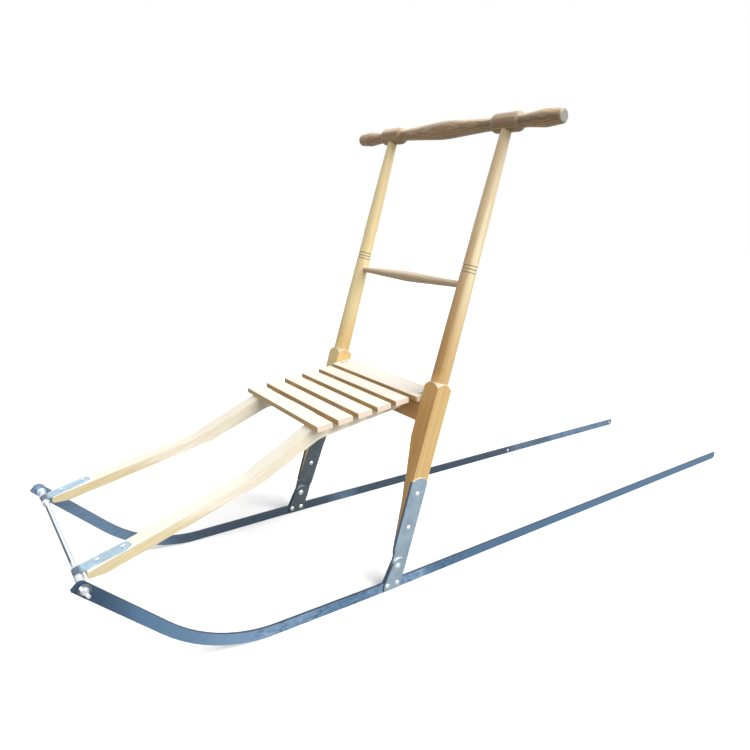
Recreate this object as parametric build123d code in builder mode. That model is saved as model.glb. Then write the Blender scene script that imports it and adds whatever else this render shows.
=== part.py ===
"""A folding kick sled: a wooden chair frame hinged on two long steel runners.

Sizes are in millimetres. X points forward to the curved runner tips, Y to the left
and Z up. The origin lies on the ground, halfway along the sled and between the
runners. Distances "from the hinge" are measured from the foot hinge.
"""
import os
from math import asin, atan, cos, degrees, radians, sin, tan

from build123d import *

os.makedirs("parts", exist_ok=True)

# Sides of the sled and faces of a flat piece: name and sign
SIDES = [("left", 1), ("right", -1)]
FACES = [("outer", 1), ("inner", -1)]

# Clearances
fit_gap = 0.1                 # round joints that are glued, riveted or screwed
hinge_gap = 0.2               # each side of the tongue in the foot hinge
pin_gap = 0.3                 # end of the cross rod to a runner tip
near = 0.01                   # lengths closer than this count as equal

# Runners: flat steel strip on edge
track_half = 202.0            # middle of the sled to the middle of a strip
strip_height = 21.0
strip_thickness = 5.0
rear_reach = 1440.0           # from the hinge to the rear end
rear_corner = 9.0
bend_distance = 275.0         # from the hinge to where the strip leaves the ground
bend_radius = 299.0           # running edge
tip_angle = 44.2              # degrees
tip_straight_length = 159.0   # from the bend to the cross rod
tip_overhang = 16.0           # from the cross rod to the end of the strip
tip_upper_corner = 10.0
tip_lower_corner = 2.0
toe_distance = 60.0           # from the hinge to where the strips turn inwards
tip_half = 191.0              # as track_half, at the cross rod
spare_hole_diameter = 8.0
# columns: side, distance behind the hinge
SPARE_HOLES = [("right", 816.0), ("right", 1427.0)]

# Foot hinge
hinge_height = 52.0
lean_angle = 14.2             # degrees
post_set_back = 4.5           # the posts' middle lines pass behind the hinge
hinge_bolt_diameter = 8.0
hinge_head_diameter = 14.0
hinge_head_height = 3.0
bracket_thickness = 3.0
bracket_round = 17.5
bracket_round_shift = 3.0     # behind the hinge
bracket_foot_width = 42.0
bracket_foot_height = 3.0     # clear of the ground
bracket_foot_shift = 12.0     # in front of the hinge
rivet_spacing = 26.0
rivet_height = 13.0
rivet_diameter = 6.0
rivet_head_diameter = 11.5
rivet_head_height = 2.8

# Foot plates, one on each side of a post, pressed together below it. The outer one
# runs straight down and folds over the front edge of the wood.
plate_tongue_reach = 16.0     # below the hinge
plate_tongue_corner = 9.0
plate_bend_start = 22.0       # above the hinge
plate_reach = 193.0           # above the hinge
plate_arch_height = 9.0
plate_flange_reach = 4.2      # over the front of the wood
plate_flange_start = 36.0     # above the hinge
plate_flange_bend = 2.0
plate_rivets = [84.0, 158.0]  # above the hinge

# Posts: square part that tapers on its inner side to the foot, turned upper part
post_square = 40.0
post_end = 31.0               # from the hinge to the lower end of the wood
post_end_thickness = 4.0
post_knee_height = 140.0      # from the hinge to where the taper grows steeper
post_knee_thickness = 15.5
post_taper_height = 270.0     # from the hinge to the full square
post_square_top = 393.0       # from the hinge to the round part
post_shoulder_slope = 48.0    # degrees
post_shoulder_radius = 30.0   # past the corners of the square
post_round_diameter = 38.0
post_top_diameter = 22.0
post_belly = 1.0              # the turned part swells this much past a straight taper
groove_height = 630.0         # from the hinge
groove_count = 3
groove_spacing = 7.0
groove_radius = 1.4

# Handlebar: turned, revolved about its own middle line
bar_height = 927.0            # from the hinge, along the post
bar_half_length = 314.0
bar_end_radius = 13.6
bar_end_rounding = 5.0
bar_middle_radius = 20.0
bar_middle_rounding = 400.0
bar_socket_depth = 7.0        # past the handlebar's middle line
bead_radius = 19.3
neck_radius = 13.0
grip_radius = 17.0
grip_rounding_share = 0.85    # of the grip's length
neck_rounding = 30.0
grip_swell_share = 0.52       # of the way from the neck to the end
# columns: from the middle line of a post, radius, rounding
BEAD_PROFILE = [
    (-58.0, neck_radius, 60.0),
    (-37.0, neck_radius, 3.0),
    (-31.0, bead_radius, 9.0),
    (29.0, bead_radius, 7.0),
    (35.0, neck_radius, 3.0),
    (50.0, neck_radius, neck_rounding),
]

# Rung: turned spindle between the posts
rung_height = 598.0           # from the hinge, along the post
rung_middle_diameter = 24.2
rung_end_diameter = 14.0
rung_middle_rounding = 300.0
rung_tenon = 14.0

# Seat: slats and a rear board on one sloping plane
seat_front = 170.0            # from the hinge to the first slat's front edge
seat_height = 359.0           # underside of the first slat's front edge
seat_slope = 7.5              # degrees, rising rearwards
slat_count = 5
slat_pitch = 46.8
slat_width = 34.0
slat_thickness = 11.5
slat_half_length = 150.0
slat_rounding = 1.5
board_width = 57.0
board_end_gap = 1.0

# Crossbar between the posts, under the rear board
crossbar_bottom = 304.0       # from the hinge, along the post
crossbar_thickness = 26.0
crossbar_depth = 52.0         # before its top is cut to the slope of the seat
crossbar_inset = 1.5          # behind the front faces of the posts
crossbar_tenon_reach = 14.0
crossbar_tenon_thickness = 14.0
crossbar_tenon_bottom = 6.0   # above the crossbar's underside
crossbar_tenon_height = 20.0

# Rails: bent wood from the cross rod to the crossbar, closer together at the seat
rail_width = 30.0
rail_front_half = 148.0       # middle of the sled to the middle of a rail at the rod
rail_seat_half = 113.0        # the same at the first slat
rail_nose_gap = 11.0          # behind the cross rod
rail_front_thickness = 18.0
rail_bend_place = 308.0       # from the hinge to where the rail starts to rise to the seat
rail_bend_height = 283.0
rail_seat_thickness = 25.0
rail_knee_place = 150.0       # from the hinge to the lower side of the knee at the seat
rail_hollow_place = 272.0     # from the hinge to the lower side of the bend
rail_nose_taper = 28.0
rail_nose_height = 11.0
rail_bend_rounding = 130.0
rail_knee_rounding = 60.0
rail_nose_rounding = 2.0
rail_lip_rounding = 3.0
rail_chin_rounding = 20.0
rail_rear_place = -80.0       # from the hinge, cut off at the crossbar

# Cross rod with its nuts and spacers, and the straps on the rail noses
rod_diameter = 8.0
rod_nut_size = 13.0
rod_nut_thickness = 6.5
spacer_diameter = 13.0
strap_width = 22.0
strap_thickness = 2.5
strap_reach = 84.0            # behind the cross rod
strap_half = 144.5            # middle of the sled to the middle of a strap
strap_end_corner = 10.5
strap_screws = [32.0, 72.0]   # behind the cross rod
screw_head_diameter = 8.0
screw_head_height = 1.8
board_screw_inset = 14.0      # from the ends of the rear board
board_screw_spacing = 12.0

# Fastening at a runner tip: washer and wing nut
washer_diameter = 18.0
washer_thickness = 1.6
wing_hub_diameter = 13.0
wing_hub_height = 8.0
wing_hub_taper = 8.0          # degrees
wing_span = 28.0
wing_thickness = 2.6
wing_height = 13.0
wing_rounding = 1.8
wing_saddle_half = 2.0        # half the width of the saddle between the wings
wing_step = 2.0               # from the tips of the wings down to their roots
wing_foot = 1.0               # the wings start this far inside the hub and above its base
stub_reach = 12.0             # outside the washer

# Angles and places worked out from the sizes above
lean = radians(lean_angle)
rise = radians(tip_angle)
slope = radians(seat_slope)
middle_radius = bend_radius - strip_height / 2
rod_along = (
    bend_distance - toe_distance + middle_radius * sin(rise) + tip_straight_length * cos(rise)
)
rod_height = (
    strip_height / 2 + middle_radius * (1 - cos(rise)) + tip_straight_length * sin(rise)
)
toe_turn = asin((track_half - tip_half) / rod_along)
foremost = (
    rod_along
    + (tip_overhang - tip_lower_corner) * cos(rise)
    + (strip_height / 2 - tip_lower_corner) * sin(rise)
    + tip_lower_corner
)
front_reach = toe_distance + foremost * cos(toe_turn) + strip_thickness / 2 * sin(toe_turn)
hinge_x = (rear_reach - front_reach) / 2
rod_x = hinge_x + toe_distance + rod_along * cos(toe_turn)
post_half = track_half - post_square / 2
tongue_thickness = strip_thickness - 2 * hinge_gap
plate_thickness = tongue_thickness / 2


def upright(x, y, turn=0.0):
    """Upright plane through a point of the ground; its X runs forward, turned by an angle."""
    return Plane((x, y, 0), x_dir=(cos(turn), sin(turn), 0), z_dir=(sin(turn), -cos(turn), 0))


def leaning(along=0.0):
    """Plane square to the posts, a distance up from the hinge, on the sled's middle."""
    base = Plane(
        (hinge_x - post_set_back * cos(lean), 0, hinge_height - post_set_back * sin(lean)),
        x_dir=(cos(lean), 0, sin(lean)),
        z_dir=(-sin(lean), 0, cos(lean)),
    )
    return base.offset(along)


def post_plane(sign, along=0.0):
    """Plane square to a post on its middle line, a distance up from the hinge."""
    middle = leaning(along)
    return Plane(middle.origin + Vector(0, sign * post_half, 0), x_dir=middle.x_dir, z_dir=middle.z_dir)


seat_plane = Plane(
    (hinge_x + seat_front, 0, seat_height),
    x_dir=(-cos(slope), 0, sin(slope)),
    z_dir=(sin(slope), 0, cos(slope)),
)


def seat_line(place):
    """Height of the slats' underside at a distance in front of the hinge."""
    return seat_height + (seat_front - place) * tan(slope)


def round_head(seat, diameter, height):
    """Adds a round head whose flat side lies on a plane and which rises along its Z."""
    radius = diameter / 2
    ball = (radius**2 + height**2) / (2 * height)
    spread = degrees(asin(radius / ball))
    with BuildSketch(Plane(seat.origin, x_dir=seat.x_dir, z_dir=-seat.y_dir)) as profile:
        with BuildLine():
            CenterArc((0, height - ball), ball, 90 - spread, spread)
            Polyline((0, height), (0, 0), (radius, 0))
        make_face()
    revolve(profile.sketch, axis=Axis(seat.origin, seat.z_dir))


def bore(seat, diameter, depth):
    """Cuts a round hole from a plane against its Z."""
    with BuildSketch(seat) as disc:
        Circle(diameter / 2)
    extrude(disc.sketch, amount=-depth, mode=Mode.SUBTRACT)


def across(x, y, z, sign):
    """Plane at a point, square to Y and facing outwards on its side."""
    return Plane((x, y, z), x_dir=(1, 0, 0), z_dir=(0, sign, 0))


# Runners
def tip_plane(sign, out):
    """Plane at the cross rod, square to a runner tip and facing outwards."""
    turn = -sign * toe_turn
    middle = Vector(rod_x, sign * tip_half, rod_height)
    outward = Vector(sin(toe_turn), sign * cos(toe_turn), 0)
    return Plane(middle + outward * out, x_dir=(cos(turn), sin(turn), 0), z_dir=outward)


def bracket_rivet_places(sign, out):
    """Planes of the two rivets through a runner and its brackets."""
    middle = hinge_x + bracket_foot_shift
    return [
        across(middle + step * rivet_spacing / 2, sign * (track_half + out), rivet_height, sign)
        for step in (-1, 1)
    ]


def hinge_plane(sign, out):
    """Plane of the hinge bolt, a distance outside the middle of the strip."""
    return across(hinge_x, sign * (track_half + out), hinge_height, sign)


for side, sign in SIDES:
    turn = -sign * toe_turn
    toe_point = (hinge_x + toe_distance, sign * track_half, 0)
    mitre = Plane(toe_point, z_dir=(cos(turn / 2), sin(turn / 2), 0))

    with BuildPart() as front_strip:
        with BuildSketch(upright(toe_point[0], toe_point[1], turn)):
            with BuildLine():
                flat = Line(
                    (-strip_height, strip_height / 2),
                    (bend_distance - toe_distance, strip_height / 2),
                )
                curve = JernArc(flat @ 1, tangent=(1, 0), radius=middle_radius, arc_size=tip_angle)
                PolarLine(curve @ 1, tip_straight_length + tip_overhang, tip_angle)
            trace(line_width=strip_height)
        extrude(amount=strip_thickness / 2, both=True)
        split(bisect_by=mitre, keep=Keep.TOP)

    with BuildPart() as runner:
        with BuildSketch(upright(hinge_x, sign * track_half)):
            with Locations((-rear_reach, 0)):
                Rectangle(
                    rear_reach + toe_distance + strip_height,
                    strip_height,
                    align=(Align.MIN, Align.MIN),
                )
        extrude(amount=strip_thickness / 2, both=True)
        split(bisect_by=mitre, keep=Keep.BOTTOM)
        lower_rear = runner.edges().filter_by(Axis.Y).group_by(Axis.X)[0].sort_by(Axis.Z)[0]
        fillet(lower_rear, rear_corner)
        add(front_strip.part)
        tip_face = runner.faces().sort_by(Axis((0, 0, 0), (cos(rise), 0, sin(rise))))[-1]
        tip_edges = tip_face.edges().filter_by(lambda edge: abs(edge.length - strip_thickness) < near)
        fillet(tip_edges.sort_by(Axis.Z)[-1], tip_upper_corner)
        strip_way = Axis((0, 0, 0), (-sin(turn), cos(turn), 0))
        fillet(runner.edges().filter_by(strip_way).sort_by(Axis.X)[-1], tip_lower_corner)
        bore(tip_plane(sign, strip_thickness), rod_diameter + 2 * fit_gap, 2 * strip_thickness)
        for seat in bracket_rivet_places(sign, strip_thickness):
            bore(seat, rivet_diameter + 2 * fit_gap, 2 * strip_thickness)
        for hole_side, distance in SPARE_HOLES:
            if hole_side == side:
                spot = across(
                    hinge_x - distance, sign * (track_half + strip_thickness), strip_height / 2, sign
                )
                bore(spot, spare_hole_diameter, 2 * strip_thickness)
    runner.part.label = f"runner_{side}"
    export_step(runner.part, f"parts/runner_{side}.step")

    # Brackets that clasp the strip and the tongue
    for face, out in FACES:
        middle_out = out * (strip_thickness / 2 + bracket_thickness / 2)
        with BuildPart() as bracket:
            with BuildSketch(upright(hinge_x, sign * (track_half + middle_out))):
                with Locations((-bracket_round_shift, hinge_height)):
                    Circle(bracket_round)
                with Locations((bracket_foot_shift, bracket_foot_height)):
                    Rectangle(bracket_foot_width, rivet_height, align=(Align.CENTER, Align.MIN))
                make_hull()
            extrude(amount=bracket_thickness / 2, both=True)
            reach = strip_thickness / 2 + 2 * bracket_thickness
            bore(hinge_plane(sign, reach), hinge_bolt_diameter + 2 * fit_gap, 2 * reach)
            for seat in bracket_rivet_places(sign, reach):
                bore(seat, rivet_diameter + 2 * fit_gap, 2 * reach)
        bracket.part.label = f"bracket_{side}_{face}"
        export_step(bracket.part, f"parts/bracket_{side}_{face}.step")

    grip = strip_thickness / 2 + bracket_thickness
    with BuildPart() as bracket_rivets:
        for out_place, in_place in zip(bracket_rivet_places(sign, grip), bracket_rivet_places(sign, -grip)):
            with BuildSketch(out_place):
                Circle(rivet_diameter / 2)
            extrude(amount=-2 * grip)
            round_head(out_place, rivet_head_diameter, rivet_head_height)
            round_head(
                Plane(in_place.origin, x_dir=in_place.x_dir, z_dir=-in_place.z_dir),
                rivet_head_diameter,
                rivet_head_height,
            )
    bracket_rivets.part.label = f"bracket_rivets_{side}"
    export_step(bracket_rivets.part, f"parts/bracket_rivets_{side}.step")

    with BuildPart() as hinge_bolt:
        with BuildSketch(hinge_plane(sign, grip)):
            Circle(hinge_bolt_diameter / 2)
        extrude(amount=-2 * grip)
        round_head(hinge_plane(sign, grip), hinge_head_diameter, hinge_head_height)
        inner_seat = hinge_plane(sign, -grip)
        round_head(
            Plane(inner_seat.origin, x_dir=inner_seat.x_dir, z_dir=-inner_seat.z_dir),
            hinge_head_diameter,
            hinge_head_height,
        )
    hinge_bolt.part.label = f"hinge_bolt_{side}"
    export_step(hinge_bolt.part, f"parts/hinge_bolt_{side}.step")

    # Threaded stub, washer and wing nut that hold a runner tip to the cross rod
    wing_base = strip_thickness / 2 + washer_thickness
    with BuildPart() as tip_bolt:
        with BuildSketch(tip_plane(sign, -strip_thickness / 2)):
            Circle(rod_diameter / 2)
        extrude(amount=strip_thickness + washer_thickness + stub_reach)
        with BuildSketch(tip_plane(sign, strip_thickness / 2)):
            Circle(washer_diameter / 2)
        extrude(amount=washer_thickness)
        with BuildSketch(tip_plane(sign, wing_base)):
            Circle(wing_hub_diameter / 2)
        extrude(amount=wing_hub_height, taper=wing_hub_taper)
        hub = tip_plane(sign, wing_base)
        with BuildSketch(Plane(hub.origin, x_dir=hub.x_dir, z_dir=-hub.y_dir)):
            with BuildLine():
                right_wing = [
                    (wing_saddle_half, wing_hub_height - wing_step),
                    (wing_hub_diameter / 2, wing_height - wing_step),
                    (wing_span / 2, wing_height),
                    (wing_span / 2, wing_height / 2),
                    (wing_hub_diameter / 2 - wing_foot, wing_foot),
                ]
                left_wing = [(-place, height) for place, height in right_wing[::-1]]
                FilletPolyline(*left_wing, *right_wing, radius=wing_rounding, close=True)
            make_face()
        extrude(amount=wing_thickness / 2, both=True)
    tip_bolt.part.label = f"tip_bolt_{side}"
    export_step(tip_bolt.part, f"parts/tip_bolt_{side}.step")


# Foot plates
def foot_offset(out, along):
    """How far a side of a tapered foot lies from the middle of the strip."""
    if out > 0:
        return 0.0
    if along < post_knee_height:
        share = (along - post_end) / (post_knee_height - post_end)
        return post_end_thickness + share * (post_knee_thickness - post_end_thickness)
    share = (along - post_knee_height) / (post_taper_height - post_knee_height)
    return post_knee_thickness + share * (post_square - post_knee_thickness)


def section_plane(sign, out, ahead=0.0):
    """Plane along a post, a distance in front of its middle line; its X runs out of the named side."""
    way = sign * out
    base = leaning()
    return Plane(
        base.origin + base.x_dir * ahead + Vector(0, sign * track_half, 0),
        x_dir=(0, way, 0),
        z_dir=base.x_dir * way,
    )


plate_shoulder = plate_reach - plate_arch_height
for side, sign in SIDES:
    for face, out in FACES:
        section = section_plane(sign, out)
        with BuildPart() as plate:
            with BuildSketch(section):
                with BuildLine():
                    Polyline(
                        (0, -plate_tongue_reach),
                        (0, plate_bend_start),
                        (foot_offset(out, post_end), post_end),
                        (foot_offset(out, post_knee_height), post_knee_height),
                        (foot_offset(out, plate_reach), plate_reach),
                    )
                    offset(amount=plate_thickness, side=Side.RIGHT, kind=Kind.INTERSECTION)
                make_face()
            extrude(amount=post_square / 2, both=True)
            with BuildSketch(Plane(leaning().origin, x_dir=leaning().x_dir, z_dir=(0, -1, 0))):
                with BuildLine():
                    arch = ThreePointArc(
                        (post_square / 2, plate_shoulder),
                        (0, plate_reach),
                        (-post_square / 2, plate_shoulder),
                    )
                    Polyline(
                        arch @ 1,
                        (-post_square / 2, -plate_tongue_reach),
                        (post_square / 2, -plate_tongue_reach),
                        arch @ 0,
                    )
                outline = make_face()
                fillet(outline.vertices().group_by(Axis.Y)[0], plate_tongue_corner)
            extrude(amount=2 * track_half, both=True, mode=Mode.INTERSECT)
            if out > 0:
                with BuildSketch(section_plane(sign, out, post_square / 2 + plate_thickness / 2)):
                    with Locations((plate_thickness, plate_flange_start)):
                        Rectangle(
                            plate_thickness + plate_flange_reach,
                            plate_shoulder - plate_flange_start,
                            align=(Align.MAX, Align.MIN),
                        )
                extrude(amount=plate_thickness / 2, both=True)
                long_edges = plate.edges().filter_by(Axis(section.origin, section.y_dir))
                corner_way = Axis(section.origin, section.x_dir + leaning().x_dir)
                fillet(long_edges.sort_by(corner_way)[-1], plate_flange_bend)
            bore(hinge_plane(sign, post_square), hinge_bolt_diameter + 2 * fit_gap, 2 * post_square)
        plate.part.label = f"foot_plate_{side}_{face}"
        export_step(plate.part, f"parts/foot_plate_{side}_{face}.step")

    with BuildPart() as foot_rivets:
        for face, out in FACES:
            section = section_plane(sign, out)
            for along in plate_rivets:
                low = section.from_local_coords(Vector(foot_offset(out, along), along))
                high = section.from_local_coords(Vector(foot_offset(out, along + 1), along + 1))
                normal = (high - low).cross(section.z_dir).normalized()
                round_head(
                    Plane(low + normal * plate_thickness, x_dir=section.z_dir, z_dir=normal),
                    rivet_head_diameter,
                    rivet_head_height,
                )
    foot_rivets.part.label = f"foot_rivets_{side}"
    export_step(foot_rivets.part, f"parts/foot_rivets_{side}.step")

# Crossbar
crossbar_front = post_square / 2 - crossbar_inset
crossbar_half = post_half - post_square / 2


def crossbar_tenons():
    """Footprint of the crossbar's two tenons, in one piece through its middle."""
    with BuildSketch(leaning(crossbar_bottom + crossbar_tenon_bottom)) as footprint:
        with Locations((crossbar_front - crossbar_thickness / 2, 0)):
            Rectangle(crossbar_tenon_thickness, 2 * (crossbar_half + crossbar_tenon_reach))
    return footprint.sketch


with BuildPart() as crossbar:
    with BuildSketch(leaning(crossbar_bottom)):
        with Locations((crossbar_front - crossbar_thickness / 2, 0)):
            Rectangle(crossbar_thickness, 2 * crossbar_half)
    extrude(amount=crossbar_depth)
    split(bisect_by=seat_plane, keep=Keep.BOTTOM)
    extrude(crossbar_tenons(), amount=crossbar_tenon_height)
crossbar.part.label = "crossbar"
export_step(crossbar.part, "parts/crossbar.step")

# Posts
shoulder_drop = (post_shoulder_radius - post_round_diameter / 2) * tan(radians(post_shoulder_slope))
for side, sign in SIDES:
    turned = post_plane(sign)
    with BuildPart() as post:
        with BuildSketch(Plane(turned.origin, x_dir=turned.x_dir, z_dir=-turned.y_dir)):
            with BuildLine():
                low = (post_round_diameter / 2, post_square_top)
                high = (post_top_diameter / 2, bar_height - bead_radius)
                swell = ((low[0] + high[0]) / 2 + 2 * post_belly, (low[1] + high[1]) / 2)
                belly = Bezier(low, swell, high)
                top = bar_height + bar_socket_depth
                Polyline(high, (high[0], top), (0, top), (0, post_taper_height))
                Polyline(
                    (0, post_taper_height),
                    (post_shoulder_radius, post_taper_height),
                    (post_shoulder_radius, post_square_top - shoulder_drop),
                    low,
                )
            make_face()
            for index in range(groove_count):
                height = groove_height + (index - (groove_count - 1) / 2) * groove_spacing
                spot = belly @ ((height - low[1]) / (high[1] - low[1]))
                with Locations((spot.X, spot.Y)):
                    Circle(groove_radius, mode=Mode.SUBTRACT)
        revolve(axis=Axis(turned.origin, turned.z_dir))
        with BuildSketch(post_plane(sign, post_taper_height)):
            Rectangle(post_square, post_square)
        extrude(amount=bar_height, mode=Mode.INTERSECT)
        with BuildSketch(section_plane(sign, 1)):
            with BuildLine():
                Polyline(
                    (0, post_end),
                    (0, post_taper_height),
                    (-post_square, post_taper_height),
                    (-post_knee_thickness, post_knee_height),
                    (-post_end_thickness, post_end),
                    close=True,
                )
            make_face()
        extrude(amount=post_square / 2, both=True)
        extrude(crossbar_tenons(), amount=crossbar_tenon_height, mode=Mode.SUBTRACT)
        rung_seat = leaning(rung_height).origin
        bore(
            across(rung_seat.X, 0, rung_seat.Z, -sign),
            rung_end_diameter + 2 * fit_gap,
            post_half - post_round_diameter / 2 + rung_tenon,
        )
    post.part.label = f"post_{side}"
    export_step(post.part, f"parts/post_{side}.step")

# Handlebar
bar_centre = leaning(bar_height).origin
bar_sketch = Plane(bar_centre, x_dir=(0, 1, 0), z_dir=(cos(lean), 0, sin(lean)))
with BuildPart() as handlebar:
    with BuildSketch(bar_sketch):
        with BuildLine():
            half = [(post_half + place, radius, rounding) for place, radius, rounding in BEAD_PROFILE]
            neck = half[-1][0]
            grip_length = bar_half_length - neck
            half.append(
                (neck + grip_swell_share * grip_length, grip_radius, grip_rounding_share * grip_length)
            )
            half.append((bar_half_length, bar_end_radius, bar_end_rounding))
            middle = [(0, bar_middle_radius, bar_middle_rounding)]
            corners = [(-place, radius, rounding) for place, radius, rounding in half[::-1]] + middle + half
            outline = FilletPolyline(
                (-bar_half_length, 0),
                *[(place, radius) for place, radius, rounding in corners],
                (bar_half_length, 0),
                radius=[rounding for place, radius, rounding in corners],
            )
            Line(outline @ 1, outline @ 0)
        make_face()
    revolve(axis=Axis(bar_centre, (0, 1, 0)))
    for side, sign in SIDES:
        bore(
            post_plane(sign, bar_height + bar_socket_depth),
            post_top_diameter + 2 * fit_gap,
            2 * bead_radius,
        )
handlebar.part.label = "handlebar"
export_step(handlebar.part, "parts/handlebar.step")

# Rung
rung_centre = leaning(rung_height).origin
rung_visible = post_half - post_round_diameter / 2
rung_end = rung_visible + rung_tenon - fit_gap
with BuildPart() as rung:
    with BuildSketch(Plane(rung_centre, x_dir=(0, 1, 0), z_dir=(cos(lean), 0, sin(lean)))):
        with BuildLine():
            outline = FilletPolyline(
                (-rung_end, rung_end_diameter / 2),
                (-rung_visible, rung_end_diameter / 2),
                (0, rung_middle_diameter / 2),
                (rung_visible, rung_end_diameter / 2),
                (rung_end, rung_end_diameter / 2),
                radius=rung_middle_rounding,
            )
            Polyline(outline @ 1, (rung_end, 0), (-rung_end, 0), outline @ 0)
        make_face()
    revolve(axis=Axis(rung_centre, (0, 1, 0)))
rung.part.label = "rung"
export_step(rung.part, "parts/rung.step")

# Rails
rail_turn = atan((rail_front_half - rail_seat_half) / (rod_x - hinge_x - seat_front))
front_slope = atan(
    (rail_bend_height - rod_height) / (rod_x - hinge_x - rail_bend_place)
)


def rail_point(place, height):
    """Point of a rail's side outline: distance in front of the hinge, height."""
    return ((hinge_x + place - rod_x) / cos(rail_turn), height)


def rail_front_line(place):
    """Height of the upper side of a rail in front of its bend."""
    clear = (rod_diameter / 2 + fit_gap) / cos(front_slope)
    return rod_height + clear + (rod_x - hinge_x - place) * tan(front_slope)


nose = rod_x - hinge_x - rail_nose_gap
chin = nose - rail_nose_taper
lower_front = rail_front_thickness / cos(front_slope)
lower_seat = rail_seat_thickness / cos(slope)
crossbar_face = Plane(
    leaning(crossbar_bottom).from_local_coords(Vector(crossbar_front, 0, 0)),
    z_dir=(cos(lean), 0, sin(lean)),
)
for side, sign in SIDES:
    with BuildPart() as rail:
        with BuildSketch(upright(rod_x, sign * rail_front_half, sign * rail_turn)):
            with BuildLine():
                outline = FilletPolyline(
                    rail_point(rail_rear_place, seat_line(rail_rear_place)),
                    rail_point(seat_front, seat_line(seat_front)),
                    rail_point(rail_bend_place, rail_front_line(rail_bend_place)),
                    rail_point(nose, rail_front_line(nose)),
                    rail_point(nose, rail_front_line(nose) - rail_nose_height),
                    rail_point(chin, rail_front_line(chin) - lower_front),
                    rail_point(rail_hollow_place, rail_front_line(rail_hollow_place) - lower_front),
                    rail_point(rail_knee_place, seat_line(rail_knee_place) - lower_seat),
                    rail_point(rail_rear_place, seat_line(rail_rear_place) - lower_seat),
                    radius=[
                        rail_knee_rounding,
                        rail_bend_rounding,
                        rail_nose_rounding,
                        rail_lip_rounding,
                        rail_chin_rounding,
                        rail_bend_rounding,
                        rail_knee_rounding,
                    ],
                )
                Line(outline @ 1, outline @ 0)
            make_face()
        extrude(amount=rail_width / 2, dir=(0, 1, 0), both=True)
        split(bisect_by=crossbar_face, keep=Keep.TOP)
    rail.part.label = f"rail_{side}"
    export_step(rail.part, f"parts/rail_{side}.step")

# Slats and rear board
for index in range(slat_count):
    with BuildPart() as slat:
        with BuildSketch(seat_plane):
            with Locations((index * slat_pitch + slat_width / 2, 0)):
                Rectangle(slat_width, 2 * slat_half_length)
        extrude(amount=slat_thickness)
        fillet(slat.edges().filter_by(Axis.Y), slat_rounding)
    slat.part.label = f"slat_{index + 1}"
    export_step(slat.part, f"parts/slat_{index + 1}.step")

board_front = slat_count * slat_pitch
board_half = crossbar_half - board_end_gap
with BuildPart() as board:
    with BuildSketch(seat_plane):
        with Locations((board_front + board_width / 2, 0)):
            Rectangle(board_width, 2 * board_half)
    extrude(amount=slat_thickness)
    fillet(board.edges().filter_by(Axis.Y), slat_rounding)
board.part.label = "rear_board"
export_step(board.part, "parts/rear_board.step")

with BuildPart() as board_screws:
    for side, sign in SIDES:
        for step in (-1, 1):
            spot = seat_plane.from_local_coords(
                Vector(
                    board_front + board_width / 2 + step * board_screw_spacing / 2,
                    sign * (board_half - board_screw_inset),
                    slat_thickness,
                )
            )
            round_head(
                Plane(spot, x_dir=(0, 1, 0), z_dir=seat_plane.z_dir),
                screw_head_diameter,
                screw_head_height,
            )
board_screws.part.label = "board_screws"
export_step(board_screws.part, "parts/board_screws.step")

# Cross rod, nuts and spacers
rod_end = tip_half - strip_thickness / 2 / cos(toe_turn) - pin_gap
with BuildPart() as cross_rod:
    with BuildSketch(across(rod_x, 0, rod_height, 1)):
        Circle(rod_diameter / 2)
    extrude(amount=rod_end, both=True)
cross_rod.part.label = "cross_rod"
export_step(cross_rod.part, "parts/cross_rod.step")

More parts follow.
